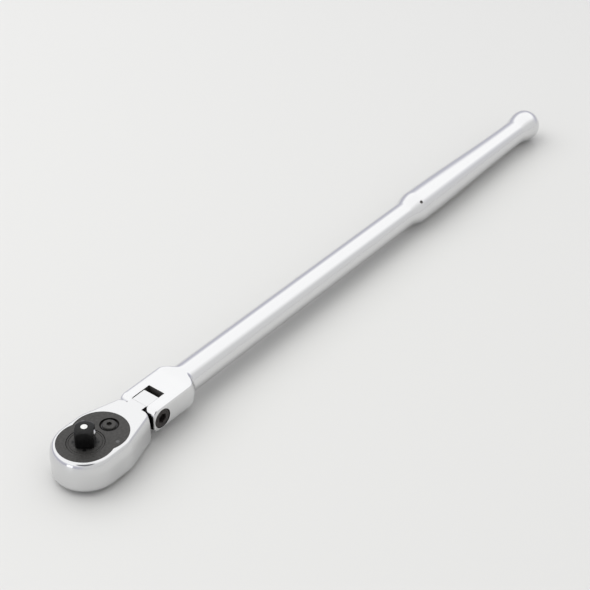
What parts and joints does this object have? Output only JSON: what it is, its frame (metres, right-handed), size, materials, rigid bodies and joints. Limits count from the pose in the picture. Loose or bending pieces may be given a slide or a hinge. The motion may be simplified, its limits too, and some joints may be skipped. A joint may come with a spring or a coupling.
{
  "type": "ratchet wrench",
  "caption": "Long flex-head reversible ratchet with a square drive, a pear-shaped tilting head, a yoke pivot and a slim round handle.",
  "frame": {"origin": "where the square drive's axis crosses the handle's axis", "axes": "+X along the handle from the drive axis to the butt, +Z along the square drive away from the reversing lever"},
  "size_m": [0.4282, 0.0364, 0.0297],
  "materials": {
    "chrome_handle": "polished chrome plate",
    "chrome_head": "polished chrome plate",
    "chrome_lever": "polished chrome plate",
    "black_plate": "satin black oxide",
    "black_drive": "black oxide, oiled",
    "black_oxide_screw": "black oxide",
    "dark_steel": "hardened, ground",
    "spring_steel": "bright spring steel",
    "bearing_steel": "polished ball",
    "steel_pin": "ground pin end",
    "seal_rubber": "matt nitrile rubber"
  },
  "bodies": {
    "handle": {"handle": "chrome_handle", "flex_pivot_screw": "black_oxide_screw", "flex_washer_left": "spring_steel", "flex_washer_right": "spring_steel", "flex_plunger_spring": "spring_steel"},
    "plunger": {"flex_plunger": "dark_steel"},
    "head": {"head_housing": "chrome_head", "cover_plate": "black_plate", "cover_pins": "steel_pin", "gear_wave_spring": "spring_steel", "selector_o_ring": "seal_rubber"},
    "drive": {"drive_gear": "black_drive", "detent_spring": "spring_steel"},
    "detent": {"detent_ball": "bearing_steel"},
    "selector": {"selector_lever": "chrome_lever", "selector_screw": "black_oxide_screw", "selector_screw_washer": "dark_steel", "pawl_click_spring": "spring_steel"},
    "click": {"pawl_click_ball": "bearing_steel"},
    "pawl": {"pawl": "dark_steel"}
  },
  "joints": [
    {"name": "flex_hinge", "type": "hinge", "parent": "handle", "child": "head", "pos_m": [0.0425, 0, -0.0004], "axis": [0, 1, 0], "range_deg": [-90, 90]},
    {"name": "flex_plunger_slide", "type": "slide", "parent": "handle", "child": "plunger", "axis": [1, 0, 0], "range_m": [0, 0.0008], "stiffness_N_per_m": 2000, "springref_m": -0.003, "deforming": ["flex_plunger_spring"]},
    {"name": "drive_spin", "type": "hinge", "parent": "head", "child": "drive", "pos_m": [0, 0, 0], "axis": [0, 0, 1], "continuous": true},
    {"name": "detent_ball_slide", "type": "slide", "parent": "drive", "child": "detent", "axis": [-0.6293, 0.7771, 0], "range_m": [0, 0.0009], "stiffness_N_per_m": 2000, "springref_m": -0.003, "deforming": ["detent_spring"]},
    {"name": "selector_turn", "type": "hinge", "parent": "head", "child": "selector", "pos_m": [0.0167, 0, 0], "axis": [0, 0, 1], "range_deg": [0, 45]},
    {"name": "click_ball_slide", "type": "slide", "parent": "selector", "child": "click", "axis": [-0.9239, 0.3827, 0], "range_m": [0, 0.0006], "stiffness_N_per_m": 1000, "springref_m": -0.002, "deforming": ["pawl_click_spring"]},
    {"name": "pawl_rock", "type": "hinge", "parent": "head", "child": "pawl", "pos_m": [0.0167, 0, 0], "axis": [0, 0, 1], "range_deg": [0, 10]}
  ],
  "couplings": [
    {"joint": "pawl_rock", "follows": "selector_turn", "ratio": 0.22222}
  ]
}
